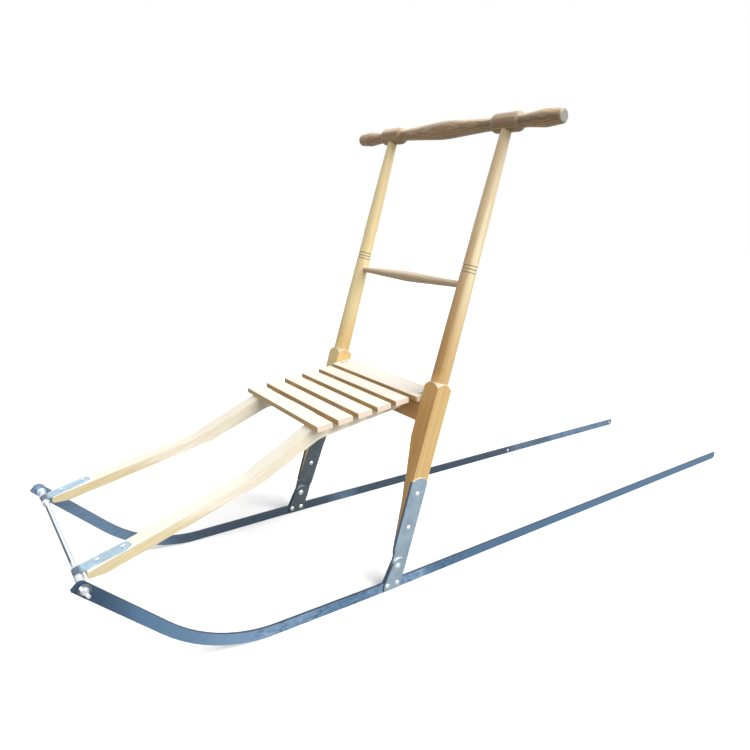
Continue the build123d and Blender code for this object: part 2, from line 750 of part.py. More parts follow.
for side, sign in SIDES:
    with BuildPart() as rod_nuts:
        for start, thickness in [
            (strap_half - strap_width / 2 - rod_nut_thickness, rod_nut_thickness),
            (strap_half + strap_width / 2, rod_nut_thickness),
        ]:
            with BuildSketch(across(rod_x, sign * start, rod_height, sign)):
                RegularPolygon(rod_nut_size / 2, 6, major_radius=False)
                Circle(rod_diameter / 2 + fit_gap, mode=Mode.SUBTRACT)
            extrude(amount=thickness)
    rod_nuts.part.label = f"rod_nuts_{side}"
    export_step(rod_nuts.part, f"parts/rod_nuts_{side}.step")

    with BuildPart() as spacer:
        start = strap_half + strap_width / 2 + rod_nut_thickness
        with BuildSketch(across(rod_x, sign * start, rod_height, sign)):
            Circle(spacer_diameter / 2)
            Circle(rod_diameter / 2 + fit_gap, mode=Mode.SUBTRACT)
        extrude(amount=rod_end - start)
    spacer.part.label = f"rod_spacer_{side}"
    export_step(spacer.part, f"parts/rod_spacer_{side}.step")

    # Strap rolled round the rod and screwed on the rail nose
    with BuildPart() as strap:
        eye_inner = rod_diameter / 2 + fit_gap
        eye_outer = eye_inner + strap_thickness
        with BuildSketch(upright(rod_x, sign * strap_half)):
            with Locations((0, rod_height)):
                Circle(eye_outer)
            with Locations(Location((0, rod_height), 180 - degrees(front_slope))):
                with Locations((0, -eye_inner)):
                    Rectangle(strap_reach, strap_thickness, align=(Align.MIN, Align.MAX))
            with Locations((0, rod_height)):
                Circle(eye_inner, mode=Mode.SUBTRACT)
        extrude(amount=strap_width / 2, both=True)
        end_edges = strap.edges().filter_by(lambda edge: abs(edge.length - strap_thickness) < near)
        fillet(end_edges.group_by(Axis.X)[0], strap_end_corner)
    strap.part.label = f"strap_{side}"
    export_step(strap.part, f"parts/strap_{side}.step")

    with BuildPart() as strap_screw_heads:
        top_normal = Vector(sin(front_slope), 0, cos(front_slope))
        back = Vector(-cos(front_slope), 0, sin(front_slope))
        for place in strap_screws:
            spot = Vector(rod_x, sign * strap_half, rod_height) + back * place + top_normal * eye_outer
            round_head(
                Plane(spot, x_dir=(0, 1, 0), z_dir=top_normal),
                screw_head_diameter,
                screw_head_height,
            )
    strap_screw_heads.part.label = f"strap_screws_{side}"
    export_step(strap_screw_heads.part, f"parts/strap_screws_{side}.step")
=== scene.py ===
from collections import namedtuple
from math import asin, cos, pi, radians, sin, tan, tau

import bmesh
import bpy
from mathutils import Matrix, Quaternion, Vector


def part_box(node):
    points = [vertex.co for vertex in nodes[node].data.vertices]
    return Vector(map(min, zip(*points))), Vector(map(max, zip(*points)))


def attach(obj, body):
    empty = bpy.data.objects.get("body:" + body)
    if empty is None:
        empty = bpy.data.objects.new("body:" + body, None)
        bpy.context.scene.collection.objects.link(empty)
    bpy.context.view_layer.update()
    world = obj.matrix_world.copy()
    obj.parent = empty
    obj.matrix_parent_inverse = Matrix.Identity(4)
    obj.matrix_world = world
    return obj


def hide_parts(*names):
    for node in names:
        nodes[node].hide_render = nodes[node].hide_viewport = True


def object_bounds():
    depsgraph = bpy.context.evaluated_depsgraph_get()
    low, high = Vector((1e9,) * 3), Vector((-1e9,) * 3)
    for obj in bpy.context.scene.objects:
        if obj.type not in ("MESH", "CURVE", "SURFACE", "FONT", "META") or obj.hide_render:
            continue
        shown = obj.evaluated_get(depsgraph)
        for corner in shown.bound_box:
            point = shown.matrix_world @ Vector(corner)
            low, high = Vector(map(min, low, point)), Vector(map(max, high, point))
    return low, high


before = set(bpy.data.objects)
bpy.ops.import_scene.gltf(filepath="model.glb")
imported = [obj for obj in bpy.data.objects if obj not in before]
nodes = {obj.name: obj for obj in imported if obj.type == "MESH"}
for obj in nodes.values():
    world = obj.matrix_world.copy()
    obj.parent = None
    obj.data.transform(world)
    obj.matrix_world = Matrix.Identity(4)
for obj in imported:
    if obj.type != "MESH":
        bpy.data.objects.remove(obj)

cad_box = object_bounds()


def middle(name):
    """Middle of a node's box."""
    low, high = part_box(name)
    return (low + high) / 2


# Camera, in metres from the foot of the left hinge, and in pixels of the photograph
HINGE_X = middle("hinge_bolt_left").x
HINGE = (HINGE_X, 0, middle("hinge_bolt_left").z)
EYE = Vector((HINGE_X + 0.72962, 1.04774, 0.74752))
AIM = Vector((HINGE_X - 0.32143, -0.32577, 0.30255))
CAMERA_ROLL = radians(3.02)
PHOTO_WIDTH = 750
FOCAL_PIXELS = 597.5
SENSOR_WIDTH = 36.0

# Directions and places on the sled, in metres
SIDES = [("left", 1), ("right", -1)]
FRONT_WAY = (1, 0, 0)
SIDE_WAY = (0, 1, 0)
UP_WAY = (0, 0, 1)
LEAN = radians(14.2)               # of the posts, rearwards
POST_GROOVES = (0.623, 0.630, 0.637)       # from the hinge, along a post
STRIP_MIDDLE = 0.0105              # height of a runner's middle
STRIP_THICKNESS = 0.005
SPARE_HOLES = (0.816, 1.427)       # behind the hinge, in the right runner
RUNNER_TOE = 0.0187                # slope of the runner tips towards each other

# Middle line of a seat rail: distance in front of the hinge and height
RAIL_LINE = [(-0.09, 0.377), (0.12, 0.349), (0.17, 0.338), (0.31, 0.268), (0.40, 0.247), (0.59, 0.200)]


# Node helpers
class Graph:
    """A material's node tree with short calls for the nodes used here."""

    def __init__(self, name):
        self.material = bpy.data.materials.new(name)
        self.material.use_nodes = True
        self.tree = self.material.node_tree
        self.shader = self.tree.nodes["Principled BSDF"]

    def put(self, socket, value):
        """Links a socket, or sets its constant."""
        if isinstance(value, bpy.types.NodeSocket):
            self.tree.links.new(value, socket)
        else:
            socket.default_value = value

    def node(self, kind, **inputs):
        """Adds a node and fills its inputs."""
        made = self.tree.nodes.new(kind)
        for name, value in inputs.items():
            self.put(made.inputs[name.replace("_", " ")], value)
        return made

    def set(self, name, value):
        """Sets or links an input of the shader."""
        self.put(self.shader.inputs[name], value)

    def math(self, operation, first, second=0.0, third=0.0):
        """Calculates with numbers."""
        made = self.tree.nodes.new("ShaderNodeMath")
        made.operation = operation
        for socket, value in zip(made.inputs, (first, second, third)):
            self.put(socket, value)
        return made.outputs[0]

    def vector_math(self, operation, first, second=(0, 0, 0)):
        """Calculates with vectors, and gives a number for a length or a dot product."""
        made = self.tree.nodes.new("ShaderNodeVectorMath")
        made.operation = operation
        self.put(made.inputs[0], first)
        self.put(made.inputs[1], second)
        return made.outputs["Value" if operation in ("LENGTH", "DOT_PRODUCT") else "Vector"]

    def mix(self, factor, first, second, blend="MIX"):
        """Mixes two colours."""
        made = self.tree.nodes.new("ShaderNodeMix")
        made.data_type = "RGBA"
        made.blend_type = blend
        color_sockets = [socket for socket in made.inputs if socket.type == "RGBA"]
        self.put(made.inputs["Factor"], factor)
        self.put(color_sockets[0], first)
        self.put(color_sockets[1], second)
        return [socket for socket in made.outputs if socket.type == "RGBA"][0]

    def tinted(self, factor, color, shares):
        """Leaves a share of each channel of a colour, as far as the factor says."""
        return self.mix(factor, color, self.mix(1.0, color, (*shares, 1), "MULTIPLY"))

    def spread(self, value, low, high, to_low=0.0, to_high=1.0):
        """Maps a range of a value smoothly to another range."""
        made = self.node("ShaderNodeMapRange", Value=value)
        made.interpolation_type = "SMOOTHSTEP"
        for name, number in [("From Min", low), ("From Max", high), ("To Min", to_low), ("To Max", to_high)]:
            made.inputs[name].default_value = number
        return made.outputs[0]

    def course(self, value, points):
        """Follows a table of points, each a place and a number from 0 to 1."""
        first, last = points[0], points[-1]
        run = last[0] - first[0]
        share = self.math("DIVIDE", self.math("SUBTRACT", value, first[0]), run)
        curve = self.node("ShaderNodeFloatCurve", Value=share)
        line = curve.mapping.curves[0]
        line.points[0].location = (0, first[1])
        line.points[1].location = (1, last[1])
        for where, number in points[1:-1]:
            line.points.new((where - first[0]) / run, number)
        curve.mapping.update()
        return curve.outputs[0]

    def noise(self, vector, scale, detail=3.0, roughness=0.55, distortion=0.0):
        """Cloudy noise, with the scale in lumps per metre."""
        made = self.node(
            "ShaderNodeTexNoise",
            Vector=vector,
            Scale=scale,
            Detail=detail,
            Roughness=roughness,
            Distortion=distortion,
        )
        return made.outputs[0]

    def mapping(self, vector, location=(0, 0, 0), rotation=(0, 0, 0), scale=(1, 1, 1)):
        """Moves, turns and stretches coordinates."""
        made = self.node(
            "ShaderNodeMapping",
            Vector=vector,
            Location=location,
            Rotation=rotation,
            Scale=scale,
        )
        return made.outputs[0]

    def place(self):
        """Coordinates in the object's frame, in metres."""
        return self.tree.nodes.new("ShaderNodeTexCoord").outputs["Object"]

    def parts(self, vector):
        """The three coordinates of a vector."""
        return self.node("ShaderNodeSeparateXYZ", Vector=vector).outputs

    def from_hinge(self):
        """Distance in front of the foot hinge."""
        return self.math("SUBTRACT", self.parts(self.place())[0], HINGE_X)

    def from_line(self, place, point):
        """Distance from a line that runs across the sled through a point."""
        apart = self.vector_math("SUBTRACT", place, point)
        return self.vector_math("LENGTH", self.vector_math("MULTIPLY", apart, (1, 0, 1)))

    def facing(self, direction, both_ways=True):
        """How far the surface faces along a direction, up to 1."""
        normal = self.tree.nodes.new("ShaderNodeTexCoord").outputs["Normal"]
        share = self.vector_math("DOT_PRODUCT", normal, direction)
        return self.math("ABSOLUTE", share) if both_ways else share

    def bump(self, height, distance, strength=1.0):
        """Gives the surface a fine relief."""
        made = self.node("ShaderNodeBump", Height=height, Strength=strength, Distance=distance)
        self.set("Normal", made.outputs[0])


def darker(color, share):
    """A colour with its brightness scaled."""
    return (*[min(1.0, channel * share) for channel in color[:3]], 1)


# Turns that bring the grain of a piece to X, and the direction of its grain
ALONG_X = ((0, 0, 0), (1, 0, 0))
ALONG_Y = ((0, 0, radians(90)), (0, 1, 0))
ALONG_POST = ((0, radians(90) + LEAN, 0), (-sin(LEAN), 0, cos(LEAN)))

# Painted light and shade on the faces along one direction: its direction, whether the opposite one counts
# too, the facings between which the tint comes in, and the share of each channel left there
PaintedLightFace = namedtuple("PaintedLightFace", "direction both_ways facings shares")

# An upper part: the heights between which it comes in, the share of each channel left there, and the share
# left on its front, which is painted shade
Upper = namedtuple("Upper", "heights shares front_shares")

# Tints on an upper part, with their heights in metres; the tints on faces and on the front are painted light
# and shade
FACE_FADE = 0.03                   # above the start of the part, where a face's tint has faded
FRONT_RISE = 0.02                  # above the start of the part, where the front's tint is full
FRONT_FADE = (0.62, 0.78)          # where the front's tint fades again
FADED = 0.25                       # share of a tint that remains where it has faded
FRONT_FACINGS = (0.42, 0.92)

# Wood browned by the turning of a groove, and the distances from its middle where that fades
BURNT = (0.20, 0.075, 0.03, 1)
BURNT_SHARE = 0.7
BURNT_REACH = (0.0007, 0.0016)

# A growth ring: how far it sways in metres, and where in its width it starts and is darkest
RING_SWAY = 0.010
RING_START = 0.10
RING_PEAK = 0.86


def along_rail(graph, place):
    """Coordinates that follow the bends of a seat rail: the height is taken from its middle line."""
    parts = graph.parts(place)
    flat = graph.math("SUBTRACT", parts[2], graph.course(graph.from_hinge(), RAIL_LINE))
    return graph.node("ShaderNodeCombineXYZ", X=parts[0], Y=parts[1], Z=flat).outputs[0]


def wood(
    name,
    pale,
    dark,
    grain_way,
    pith,
    spacing=0.005,
    figure=0.5,
    rings=0.55,
    gloss=0.10,
    bent=False,
    end_tint=None,
    end_facings=(0.60, 0.88),
    face=None,
    upper=None,
    grooves=(),
):
    """Varnished wood: growth rings round a pith, fine straight fibres and pores along the grain.

    The spacing of the rings is in metres, and the figure and the rings are strengths. The face tint is
    painted light and shade, lighter or darker on the faces along one direction.
    """
    graph = Graph(name)
    place = graph.place()
    height = graph.parts(place)[2]
    if bent:
        place = along_rail(graph, place)
    turn, direction = grain_way
    grain = graph.mapping(place, location=pith, rotation=turn)

    def drawn_out(stretch, scale, detail, roughness=0.55):
        """Noise drawn out along the grain."""
        return graph.noise(graph.mapping(grain, scale=(stretch, 1, 1)), scale, detail, roughness)

    wobble = drawn_out(0.045, 16.0, 2.0)
    hairs = drawn_out(0.006, 1150.0, 3.0, 0.62)
    fibres = drawn_out(0.012, 420.0, 3.0, 0.6)
    pores = drawn_out(0.03, 2600.0, 2.0)
    bands = drawn_out(0.02, 90.0, 2.0)
    patches = graph.noise(grain, 5.0, 2.0)
    reach = graph.vector_math("LENGTH", graph.vector_math("MULTIPLY", grain, (0.0, 1.0, 1.0)))
    swayed = graph.math("MULTIPLY_ADD", wobble, RING_SWAY, reach)
    phase = graph.math("FRACT", graph.math("DIVIDE", swayed, spacing))
    growing = graph.spread(phase, RING_START, RING_PEAK)
    ending = graph.spread(phase, RING_PEAK, 1.0, 1.0, 0.0)
    ring = graph.math("MULTIPLY", growing, ending)

    # Layers of figure: a texture, the values where it starts and is full, its strength and colour
    tint = graph.mix(graph.math("MULTIPLY", ring, rings * figure), pale, dark)
    for texture, low, high, strength, color in [
        (bands, 0.42, 0.66, 0.55 * figure, dark),
        (fibres, 0.50, 0.70, 0.65 * figure, dark),
        (patches, 0.35, 0.70, 0.22, darker(pale, 0.84)),
        (hairs, 0.50, 0.72, 0.55 * figure, darker(dark, 0.72)),
        (pores, 0.66, 0.74, 0.30, darker(dark, 0.55)),
    ]:
        tint = graph.mix(graph.spread(texture, low, high, 0.0, strength), tint, color)

    # Painted light and shade: faces along one direction made lighter or darker
    if face:
        amount = graph.spread(graph.facing(face.direction, face.both_ways), *face.facings)
        if upper:
            start = upper.heights[0]
            fading = graph.spread(height, start, start + FACE_FADE, 1.0, FADED)
            amount = graph.math("MULTIPLY", amount, fading)
        tint = graph.tinted(amount, tint, face.shares)
    if upper:
        tint = graph.tinted(graph.spread(height, *upper.heights), tint, upper.shares)
    # Painted shade on the front of the upper part
    if upper and upper.front_shares:
        start = upper.heights[0]
        amount = graph.spread(graph.facing(FRONT_WAY, False), *FRONT_FACINGS)
        amount = graph.math("MULTIPLY", amount, graph.spread(height, start, start + FRONT_RISE))
        amount = graph.math("MULTIPLY", amount, graph.spread(height, *FRONT_FADE, 1.0, FADED))
        tint = graph.tinted(amount, tint, upper.front_shares)
    for distance in grooves:
        along = graph.vector_math("DOT_PRODUCT", graph.vector_math("SUBTRACT", place, HINGE), direction)
        apart = graph.math("ABSOLUTE", graph.math("SUBTRACT", along, distance))
        tint = graph.mix(graph.spread(apart, *BURNT_REACH, BURNT_SHARE, 0.0), tint, BURNT)
    if end_tint:
        speckle = graph.noise(place, 900.0, 2.0)
        end_grain = graph.mix(graph.spread(speckle, 0.4, 0.65), end_tint, darker(end_tint, 0.66))
        tint = graph.mix(graph.spread(graph.facing(direction), *end_facings), tint, end_grain)

    graph.set("Base Color", tint)
    graph.set("Roughness", graph.spread(fibres, 0.3, 0.7, 0.42, 0.58))
    graph.set("Coat Weight", gloss)
    graph.set("Coat Roughness", 0.30)
    relief = graph.math("MULTIPLY_ADD", ring, -0.35, hairs)
    graph.bump(relief, 0.00020, 0.5)
    return graph.material


# Metals
METALLIC = 0.6
METALLIC_PLATING = 0.7
# Bare drilled steel round the runner's spare holes, and the painted highlight on upper edges of plates
BARE_STEEL_AND_HIGHLIGHT = (0.95, 0.97, 1.0, 1)
# Painted shade on the runners' edges
PAINTED_EDGE_SHADE = (0.03, 0.045, 0.075, 1)
NAVY = (0.05, 0.085, 0.145, 1)
ROD_SIDE = (0.86, 0.93, 0.97, 1)
# Painted shade on the back of the cross rod
ROD_BACK_SHADE = (0.36, 0.52, 0.66, 1)
ROD_DRAWN = (0.3, 0.4, 0.5, 1)
ZINC = (0.88, 0.93, 0.96, 1)
ZINC_CLOUD = (0.66, 0.73, 0.79, 1)
BLUED = (0.20, 0.345, 0.53, 1)
BLUED_GRAIN = (0.28, 0.43, 0.62, 1)
DARK_MOTTLE = (0.06, 0.10, 0.18, 1)
# Pale patches on the runners, partly temper colour and partly painted reflection
PALE_MOTTLE_AND_REFLECTION = (0.48, 0.62, 0.76, 1)
ROLLED_STREAK = (0.40, 0.52, 0.64, 1)

# Share of navy, a painted shade, on the front edges of plates and on the roll of a strap
DARK_SHARE = 0.8

# Places where the metal changes, in metres
LOW_HEIGHTS = (0.03, 0.13)         # where plates are dullest, and where they are dull no more
ROLL_REACH = (0.007, 0.012)        # of a strap's roll, from the middle of the cross rod
TIP_REACH = (0.50, 0.58)           # in front of the hinge, where the dark runner tip comes in
HOLE_RIM = (0.0042, 0.0050)        # from the middle of a spare hole


def galvanised(name, tint, rough=0.42, low_share=1.0, rolled=False, painted_edge_highlight=0.0):
    """Dull zinc coat with faint crystals, stains and fine scratches.

    It has a painted highlight on upper edges and painted shade on front edges and where a strap is rolled
    round the cross rod, and it is darker towards the bottom.
    """
    graph = Graph(name)
    place = graph.place()
    crystals = graph.node("ShaderNodeTexVoronoi", Vector=place, Scale=260.0)
    cloud = graph.noise(place, 38.0, 5.0, 0.6)
    stains = graph.noise(place, 110.0, 4.0, 0.65)
    scratched = graph.mapping(place, rotation=(0.3, 1.2, 0.4), scale=(1, 1, 0.03))
    scratches = graph.noise(scratched, 1900.0, 2.0)
    height = graph.parts(place)[2]
    shade = graph.mix(graph.spread(cloud, 0.35, 0.68), tint, darker(tint, 0.80))
    shade = graph.mix(graph.spread(stains, 0.55, 0.75, 0.0, 0.4), shade, darker(tint, 1.22))
    shade = graph.mix(0.06, shade, crystals.outputs["Color"], "SOFT_LIGHT")
    # Darker towards the bottom
    low = graph.mix(graph.spread(height, *LOW_HEIGHTS), (low_share, low_share, low_share, 1), (1, 1, 1, 1))
    shade = graph.mix(1.0, shade, low, "MULTIPLY")
    # Painted shade on front-facing faces and round the roll of a strap
    painted_shade = graph.spread(graph.facing(FRONT_WAY), 0.6, 0.9, 0.0, DARK_SHARE)
    if rolled:
        away = graph.from_line(place, middle("cross_rod"))
        painted_shade = graph.math("MAXIMUM", painted_shade, graph.spread(away, *ROLL_REACH, DARK_SHARE, 0.0))
    shade = graph.mix(painted_shade, shade, NAVY)
    # Painted highlight on up-facing edges
    painted_highlight = graph.spread(graph.facing(UP_WAY), 0.45, 0.95, 0.0, painted_edge_highlight)
    shade = graph.mix(painted_highlight, shade, BARE_STEEL_AND_HIGHLIGHT)
    graph.set("Base Color", shade)
    graph.set("Metallic", METALLIC)
    graph.set("Roughness", graph.spread(stains, 0.3, 0.7, rough - 0.09, rough + 0.12))
    graph.bump(graph.math("MULTIPLY_ADD", scratches, 0.4, cloud), 0.00025, 0.3)
    return graph.material


def rod_steel(name):
    """Smooth drawn rod, with painted shade towards the front and the back."""
    graph = Graph(name)
    place = graph.place()
    drawn = graph.noise(graph.mapping(place, scale=(1, 0.02, 1)), 1800.0, 2.0)
    # Painted shade: navy towards the front, darker towards the back
    painted_shade = graph.spread(graph.facing(FRONT_WAY, False), 0.28, 0.62)
    back_shade = graph.spread(graph.facing(FRONT_WAY, False), -0.62, -0.30, 0.55, 0.0)
    shade = graph.mix(back_shade, ROD_SIDE, ROD_BACK_SHADE)
    shade = graph.mix(painted_shade, shade, NAVY)
    shade = graph.mix(graph.spread(drawn, 0.4, 0.7, 0.0, 0.2), shade, ROD_DRAWN)
    graph.set("Base Color", shade)
    graph.set("Metallic", METALLIC)
    graph.set("Roughness", graph.spread(drawn, 0.3, 0.7, 0.28, 0.38))
    return graph.material


def bright_zinc(name):
    """Bright plating on nuts, rivets and screws."""
    graph = Graph(name)
    place = graph.place()
    cloud = graph.noise(place, 160.0, 4.0)
    wear = graph.noise(place, 900.0, 3.0)
    graph.set("Base Color", graph.mix(graph.spread(cloud, 0.35, 0.7), ZINC, ZINC_CLOUD))
    graph.set("Metallic", METALLIC_PLATING)
    graph.set("Roughness", graph.spread(wear, 0.3, 0.7, 0.18, 0.34))
    graph.bump(wear, 0.0002, 0.25)
    return graph.material


def runner_steel(name, dull, dullness, mottling, dark_tip=0.0, holes=()):
    """Blued rolled spring steel with painted shade on its edges and bright drilled holes.

    Dullness and mottling are courses along the sled from the hinge; the pale mottling is partly temper
    colour and partly painted reflection.
    """
    graph = Graph(name)
    place = graph.place()
    away = graph.from_hinge()
    clouds = graph.noise(graph.mapping(place, scale=(0.55, 1, 1)), 95.0, 4.0, 0.6, 0.5)
    grain = graph.noise(place, 900.0, 3.0, 0.7)
    rolled = graph.noise(graph.mapping(place, scale=(0.02, 1, 1)), 1500.0, 3.0)
    amount = graph.course(away, mottling)
    dark_clouds = graph.math("MULTIPLY", graph.spread(clouds, 0.50, 0.66), amount)
    pale_clouds_and_reflections = graph.math("MULTIPLY", graph.spread(clouds, 0.30, 0.44, 1.0, 0.0), amount)
    shade = graph.mix(graph.spread(grain, 0.35, 0.65), BLUED, BLUED_GRAIN)
    shade = graph.mix(dark_clouds, shade, DARK_MOTTLE)
    # Pale patches: partly temper colour, partly painted reflection
    shade = graph.mix(pale_clouds_and_reflections, shade, PALE_MOTTLE_AND_REFLECTION)
    shade = graph.mix(graph.spread(rolled, 0.45, 0.75, 0.0, 0.20), shade, ROLLED_STREAK)
    shade = graph.mix(graph.course(away, dullness), shade, dull)
    shade = graph.mix(graph.spread(away, *TIP_REACH, 0.0, dark_tip), shade, NAVY)
    # Painted shade on the edges, the faces that don't face sideways
    shade = graph.mix(graph.spread(graph.facing(SIDE_WAY), 0.3, 0.7, 0.85, 0.0), shade, PAINTED_EDGE_SHADE)
    for distance in holes:
        apart = graph.from_line(place, (HINGE_X - distance, 0, STRIP_MIDDLE))
        shade = graph.mix(graph.spread(apart, *HOLE_RIM, 1.0, 0.0), shade, BARE_STEEL_AND_HIGHLIGHT)
    graph.set("Base Color", shade)
    graph.set("Metallic", METALLIC)
    graph.set("Roughness", graph.spread(clouds, 0.3, 0.7, 0.30, 0.46))
    graph.bump(graph.math("MULTIPLY_ADD", grain, 0.5, rolled), 0.0003, 0.3)
    return graph.material


# What several wooden pieces share
END_GRAIN = (0.84, 0.69, 0.58, 1)
FLAT_FACINGS = (0.55, 0.90)
TURNED_POST = {
    "grain_way": ALONG_POST,
    # The end tint lightens the up-facing shoulder: partly end grain, partly a painted highlight
    "end_tint": (0.68, 0.60, 0.44, 1),
    "end_facings": (0.22, 0.50),
    "grooves": POST_GROOVES,
}
SEAT_WOOD = {
    "pale": (0.86, 0.82, 0.74, 1),
    "dark": (0.66, 0.50, 0.34, 1),
    "end_tint": END_GRAIN,
}

# Courses along the runners: distance in front of the hinge in metres, and strength
LEFT_DULLNESS = [
    (-1.45, 0.55), (-1.0, 0.52), (-0.12, 0.54), (-0.05, 0.05), (0.03, 0.12),
    (0.10, 0.42), (0.20, 0.10), (0.30, 0.0), (0.42, 0.28), (0.53, 0.55),
]
LEFT_MOTTLING = [(-1.45, 0.0), (-0.25, 0.15), (-0.10, 0.85), (0.28, 0.75), (0.36, 0.1), (0.60, 0.0)]
RIGHT_DULLNESS = [
    (-1.45, 0.45), (-1.36, 0.30), (-1.08, 0.30), (-1.00, 0.60), (-0.88, 0.45), (-0.80, 0.82), (-0.20, 0.86),
    (-0.14, 0.50), (-0.08, 0.82), (0.0, 0.84), (0.30, 0.75), (0.38, 0.35), (0.60, 0.15),
]
RIGHT_MOTTLING = [(-1.45, 0.5), (-0.85, 0.6), (-0.30, 0.5), (0.60, 0.3)]

materials = {
    # Posts: painted shade hue on the left post's front and back faces, painted light on the right post's;
    # the upper part is lighter, partly the wood's own tone and partly painted light
    "post_left": wood(
        "post_wood_left",
        pale=(0.63, 0.45, 0.19, 1),
        dark=(0.46, 0.26, 0.09, 1),
        pith=(0.0, 0.10, 0.31),
        spacing=0.006,
        figure=0.72,
        face=PaintedLightFace(FRONT_WAY, True, FLAT_FACINGS, (1.08, 0.89, 0.68)),
        upper=Upper((0.44, 0.70), (1.24, 1.50, 2.30), (0.78, 0.66, 0.55)),
        **TURNED_POST,
    ),
    "post_right": wood(
        "post_wood_right",
        pale=(0.69, 0.485, 0.195, 1),
        dark=(0.52, 0.34, 0.14, 1),
        pith=(0.0, 0.31, 0.26),
        spacing=0.0055,
        figure=0.62,
        face=PaintedLightFace(FRONT_WAY, True, FLAT_FACINGS, (1.14, 1.26, 1.40)),
        upper=Upper((0.44, 0.56), (1.20, 1.38, 1.80), (1.0, 1.0, 0.98)),
        **TURNED_POST,
    ),
    # The bar and the rung are painted lighter on their up-facing tops over a darker base: painted light and
    # shade
    "bar": wood(
        "bar_wood",
        pale=(0.44, 0.26, 0.11, 1),
        dark=(0.06, 0.03, 0.011, 1),
        grain_way=ALONG_Y,
        pith=(0.0, 0.12, -0.90),
        spacing=0.003,
        figure=1.0,
        rings=0.45,
        gloss=0.6,
        end_tint=(0.30, 0.28, 0.24, 1),
        face=PaintedLightFace(UP_WAY, False, (0.10, 0.95), (2.4, 3.1, 4.8)),
    ),
    "rung": wood(
        "rung_wood",
        pale=(0.52, 0.39, 0.25, 1),
        dark=(0.28, 0.18, 0.09, 1),
        grain_way=ALONG_Y,
        pith=(0.0, 0.20, -0.55),
        gloss=0.4,
        face=PaintedLightFace(UP_WAY, False, (-0.10, 0.90), (1.80, 2.0, 2.35)),
    ),
    "crossbar": wood(
        "crossbar_wood",
        pale=(0.58, 0.31, 0.11, 1),
        dark=(0.28, 0.13, 0.04, 1),
        grain_way=ALONG_Y,
        pith=(0.0, 0.30, -0.31),
    ),
    # Rails and slats: their side and front faces get a darker golden tint, painted shade
    "rail": wood(
        "rail_wood",
        grain_way=ALONG_X,
        pith=(0.0, -0.05, 0.06),
        figure=0.42,
        bent=True,
        face=PaintedLightFace(SIDE_WAY, True, FLAT_FACINGS, (0.76, 0.69, 0.47)),
        upper=Upper((0.235, 0.30), (0.95, 0.96, 0.92), None),
        **SEAT_WOOD,
    ),
    "slat": wood(
        "slat_wood",
        grain_way=ALONG_Y,
        pith=(0.0, -0.30, -0.42),
        spacing=0.0045,
        figure=0.30,
        face=PaintedLightFace(FRONT_WAY, True, FLAT_FACINGS, (0.64, 0.45, 0.20)),
        **SEAT_WOOD,
    ),
    "plate": galvanised("plate_steel", (0.39, 0.51, 0.61, 1), low_share=0.95, painted_edge_highlight=1.0),
    # The far foot's plates and brackets are a darker copy of the same steel: painted shade
    "far_plate_painted_shade": galvanised("plate_steel_right_painted_shade", (0.15, 0.18, 0.21, 1), low_share=0.85, painted_edge_highlight=1.0),
    "washer": galvanised("washer_steel", (0.16, 0.19, 0.22, 1)),
    "strap": galvanised("strap_steel", (0.47, 0.64, 0.77, 1), rough=0.32, rolled=True),
    "rod": rod_steel("rod_steel"),
    "zinc": bright_zinc("bright_zinc"),
    "runner_left": runner_steel(
        "runner_steel_left",
        dull=(0.012, 0.09, 0.19, 1),
        dullness=LEFT_DULLNESS,
        mottling=LEFT_MOTTLING,
        dark_tip=0.85,
    ),
    "runner_right": runner_steel(
        "runner_steel_right",
        dull=(0.05, 0.07, 0.095, 1),
        dullness=RIGHT_DULLNESS,
        mottling=RIGHT_MOTTLING,
        dark_tip=0.15,
        holes=SPARE_HOLES,
    ),
}

# Start of a node's name, its material and the width of its rounded edges in millimetres
FINISH = [
    ("post_left", "post_left", 1.0),
    ("post_right", "post_right", 1.0),
    ("handlebar", "bar", 0.0),
    ("rung", "rung", 0.0),
    ("crossbar", "crossbar", 1.0),
    ("rail_", "rail", 1.6),
    ("slat_", "slat", 0.5),
    ("rear_board", "slat", 0.5),
    ("foot_plate_left", "plate", 0.35),
    # The right foot's plates and brackets take the darker copy, painted shade
    ("foot_plate_right", "far_plate_painted_shade", 0.35),
    ("bracket_rivets", "zinc", 0.0),
    ("bracket_left", "plate", 0.5),
    ("bracket_right", "far_plate_painted_shade", 0.5),
    ("strap_screws", "zinc", 0.0),
    ("strap_", "strap", 0.4),
    ("cross_rod", "rod", 0.0),
    ("rod_spacer", "zinc", 0.4),
    ("rod_nuts", "zinc", 0.0),
    ("foot_rivets", "zinc", 0.0),
    ("board_screws", "zinc", 0.0),
    ("hinge_bolt", "zinc", 0.0),
    ("tip_bolt", "zinc", 0.0),
    ("runner_left", "runner_left", 0.5),
    ("runner_right", "runner_right", 0.5),
]

# The least angle between two faces that makes an edge sharp
ROUNDED_ANGLE = radians(35)
SHARP_ANGLE = radians(38)


def round_edges(obj, width, steps=2):
    """Rounds the sharp edges of an object, in millimetres."""
    bevel = obj.modifiers.new("rounded edges", "BEVEL")
    bevel.width = width / 1000
    bevel.segments = steps
    bevel.limit_method = "ANGLE"
    bevel.angle_limit = ROUNDED_ANGLE
    bevel.harden_normals = True
    bevel.use_clamp_overlap = True


for name, node in nodes.items():
    finish, rounding = next(row[1:] for row in FINISH if name.startswith(row[0]))
    node.data.materials.clear()
    node.data.materials.append(materials[finish])
    if rounding:
        round_edges(node, rounding)


